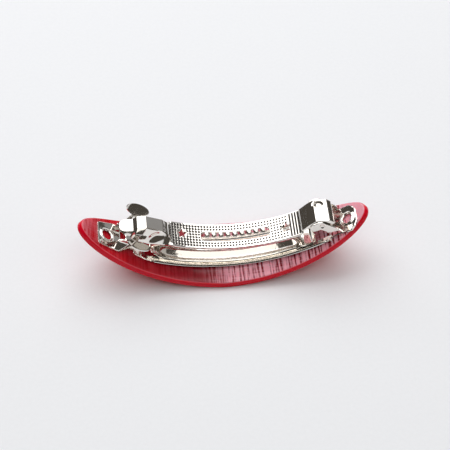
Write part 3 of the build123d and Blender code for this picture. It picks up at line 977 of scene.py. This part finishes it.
# %% Nine teeth
TOOTH_COUNT = 9
TOOTH_PITCH = 2.42
TOOTH_HALF = 0.95
TOOTH_START, TOOTH_END = -0.7, 2.15    # of the blank, from the slot's edge
TOOTH_HIDDEN = 0.4       # how far it reaches back under the strip
TOOTH_BEND = 1.5
TOOTH_CUP = 0.25
TOOTH_SUNK = 0.02
TOOTH_THICKNESS = 0.35


def tooth(u0):
    """Flat blank with round ends, bent down round a circle in (v, h): v falls by
    radius * sin(angle), and h by radius * (1 - cos(angle)).  Across, the tooth is cupped
    by cup * (distance from its middle / half width)^2."""
    height = np.interp(u0, *zip(STRIP_START, STRIP_END)) - TOOTH_SUNK

    def place(length, u):
        angle = np.maximum(length, -TOOTH_HIDDEN) / TOOTH_BEND
        cup = TOOTH_CUP * (u / TOOTH_HALF) ** 2
        fall = TOOTH_BEND * (1 - np.cos(angle)) + cup * np.cos(angle)
        return bow(u0 + u, SLOT[3] - (TOOTH_BEND - cup) * np.sin(angle), height - fall)

    outline = pill(TOOTH_START, TOOTH_END, -TOOTH_HALF, TOOTH_HALF)
    lengths, across = spaced(-0.3, 2.3, FINE_STEP), spaced(-1.0, 1.0, FINE_STEP)
    return sheet(lengths, across, outline, place, TOOTH_THICKNESS)


tooth_steps = TOOTH_PITCH * (np.arange(TOOTH_COUNT) - (TOOTH_COUNT - 1) / 2)
teeth = [tooth(u0) for u0 in (SLOT[0] + SLOT[1]) / 2 + tooth_steps]
print(len(teeth), "teeth of", len(teeth[0][0]), "points")

# %% [markdown]
# ## The hinge cheeks
# The channel's sides turn down between the ears.  They could be folded down with the
# arm's grid, but their outline and the pivot's hole are cleaner on a flat blank in (u, h)
# of their own, whose upper line follows the ridge.

# %% Cheeks
CHEEK_V = 4.29
CHEEK_STEP = 0.15
PIVOT_HOLE_RADIUS = 0.78
cheek_outline = polygon([
    (28.3, 7.55), (31.0, 8.6), (34.2, 9.0), (37.8, 6.85), (38.4, 4.9),
    (36.3, 4.7), (33.6, 4.9), (31.7, 6.2), (30.2, 7.3),
])
cheeks = mirrored(
    sheet(
        spaced(28.0, 38.5, CHEEK_STEP),
        spaced(4.5, 9.3, CHEEK_STEP),
        blank(cheek_outline, disc(PIVOT_U, PIVOT_H, PIVOT_HOLE_RADIUS)),
        lambda u, h: bow(u, -CHEEK_V + 0 * u, h),
        SHEET,
    )
)
arm = piece("arm_skin", nickel, arm_skin, *teeth, *cheeks)

# %% Pits as an attribute
upper = arm_skin[0][: len(arm_skin[0]) // 2]    # the first half is the upper skin
depth = np.zeros(len(arm.data.vertices))
depth[: len(upper)] = knurl(*unbow(upper)[:, :2].T)
arm.data.attributes.new("pit", "FLOAT", "POINT").data.foreach_set("value", depth)
print("points in a pit or a groove:", int((depth > 0.1).sum()))
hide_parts("arm")
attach(arm, "arm")

# %% [markdown]
# ## Table, light and camera
# The clip lies on a pale table.  Polished metal shows the room more than itself, so the
# room matters.  It could be an image of a real room, but a dim, warm one with a few soft
# boxes is enough: a large one behind, another overhead, and weak ones in front and at the
# right.

# %% Table
TABLE_HALF = 1.0         # metres
TABLE_DROP = 0.00002


def table():
    """Pale square just under the plate's lowest point."""
    half = TABLE_HALF
    corners = [(-half, -half, 0), (half, -half, 0), (half, half, 0), (-half, half, 0)]
    mesh = bpy.data.meshes.new("table")
    mesh.from_pydata(corners, [], [(0, 1, 2, 3)])
    floor = bpy.data.objects.new("table", mesh)
    bpy.context.scene.collection.objects.link(floor)
    floor.location.z = -TABLE_DROP
    return floor


def paper_signals(place):
    """A fine noise between two close greys."""
    fibre = place.noise(EVENLY, 900.0)
    return {"Base Color": fibre.blend((0.79, 0.805, 0.835, 1), (0.83, 0.845, 0.875, 1))}


floor = table()
floor.data.materials.append(finish("paper", {"Roughness": 0.8}, paper_signals, on_bow=False))

# %% Lights
LAMP_DISTANCE = 0.9
COOL, WARM = (0.95, 0.97, 1.0), (1.0, 0.97, 0.92)


def soft_light(name, azimuth, elevation, width, height, watts, colour=(1, 1, 1)):
    """Soft box at that bearing from the clip, turned towards it.  Azimuth 0 is the
    viewer's side, and it grows to the right."""
    data = bpy.data.lights.new(name, "AREA")
    data.shape = "RECTANGLE"
    data.size, data.size_y = width, height
    data.energy = watts
    data.color = colour
    lamp = bpy.data.objects.new(name, data)
    az, el = math.radians(azimuth), math.radians(elevation)
    away = np.array([math.sin(az) * math.cos(el), -math.cos(az) * math.cos(el), math.sin(el)])
    side = np.array([math.cos(az), math.sin(az), 0.0])
    turned = Matrix([side, np.cross(away, side), away]).transposed().to_4x4()
    turned.translation = away * LAMP_DISTANCE
    lamp.matrix_world = turned
    bpy.context.scene.collection.objects.link(lamp)
    print("light:", name, watts, "W")


soft_light("window", -168, 52, 1.15, 0.95, 6.8)
soft_light("ceiling", -150, 82, 1.3, 1.3, 5.0)
soft_light("wall", 138, 28, 0.7, 0.5, 0.24, COOL)
soft_light("front", 8, 58, 0.8, 0.42, 1.25, WARM)
soft_light("side", 72, 38, 0.6, 0.5, 0.35, WARM)
world = bpy.data.worlds.new("room")
world.use_nodes = True
background = world.node_tree.nodes["Background"]
background.inputs["Color"].default_value = (0.95, 0.85, 0.74, 1)
background.inputs["Strength"].default_value = 0.07
bpy.context.scene.world = world
bpy.context.scene.view_settings.view_transform = "Standard"

# %% Camera
CAMERA_TURN = 6.19       # degrees that the view is turned round the clip
CAMERA_ELEVATION = 50.97
CAMERA_DISTANCE = 0.4624
CAMERA_ROLL = 1.31
AIM_RIGHT = 0.00040      # the picture's middle, from the origin
AIM_UP = 0.01002
LENS = 120.0             # millimetres, on a sensor 36 wide


def photo_camera():
    """Long lens at the photograph's bearing, aimed at the picture's middle."""
    turn, elevation = math.radians(CAMERA_TURN), math.radians(CAMERA_ELEVATION)
    roll = math.radians(CAMERA_ROLL)
    right = np.array([math.cos(turn), -math.sin(turn), 0.0])
    ahead = np.array([math.sin(turn), math.cos(turn), 0.0])
    up = ahead * math.sin(elevation) + np.array([0, 0, math.cos(elevation)])
    back = np.cross(right, up)
    place = back * CAMERA_DISTANCE
    away = unit(place - right * AIM_RIGHT - up * AIM_UP)
    side = right * math.cos(roll) + up * math.sin(roll)
    side = unit(side - away * (side @ away))
    data = bpy.data.cameras.new("camera")
    data.lens = LENS
    data.sensor_width = 36.0
    data.clip_start = 0.01
    camera = bpy.data.objects.new("camera", data)
    turned = Matrix([side, np.cross(away, side), away]).transposed().to_4x4()
    turned.translation = place
    camera.matrix_world = turned
    bpy.context.scene.collection.objects.link(camera)
    bpy.context.scene.camera = camera
    return camera


camera = photo_camera()
print("camera at", [round(value, 4) for value in camera.matrix_world.translation])
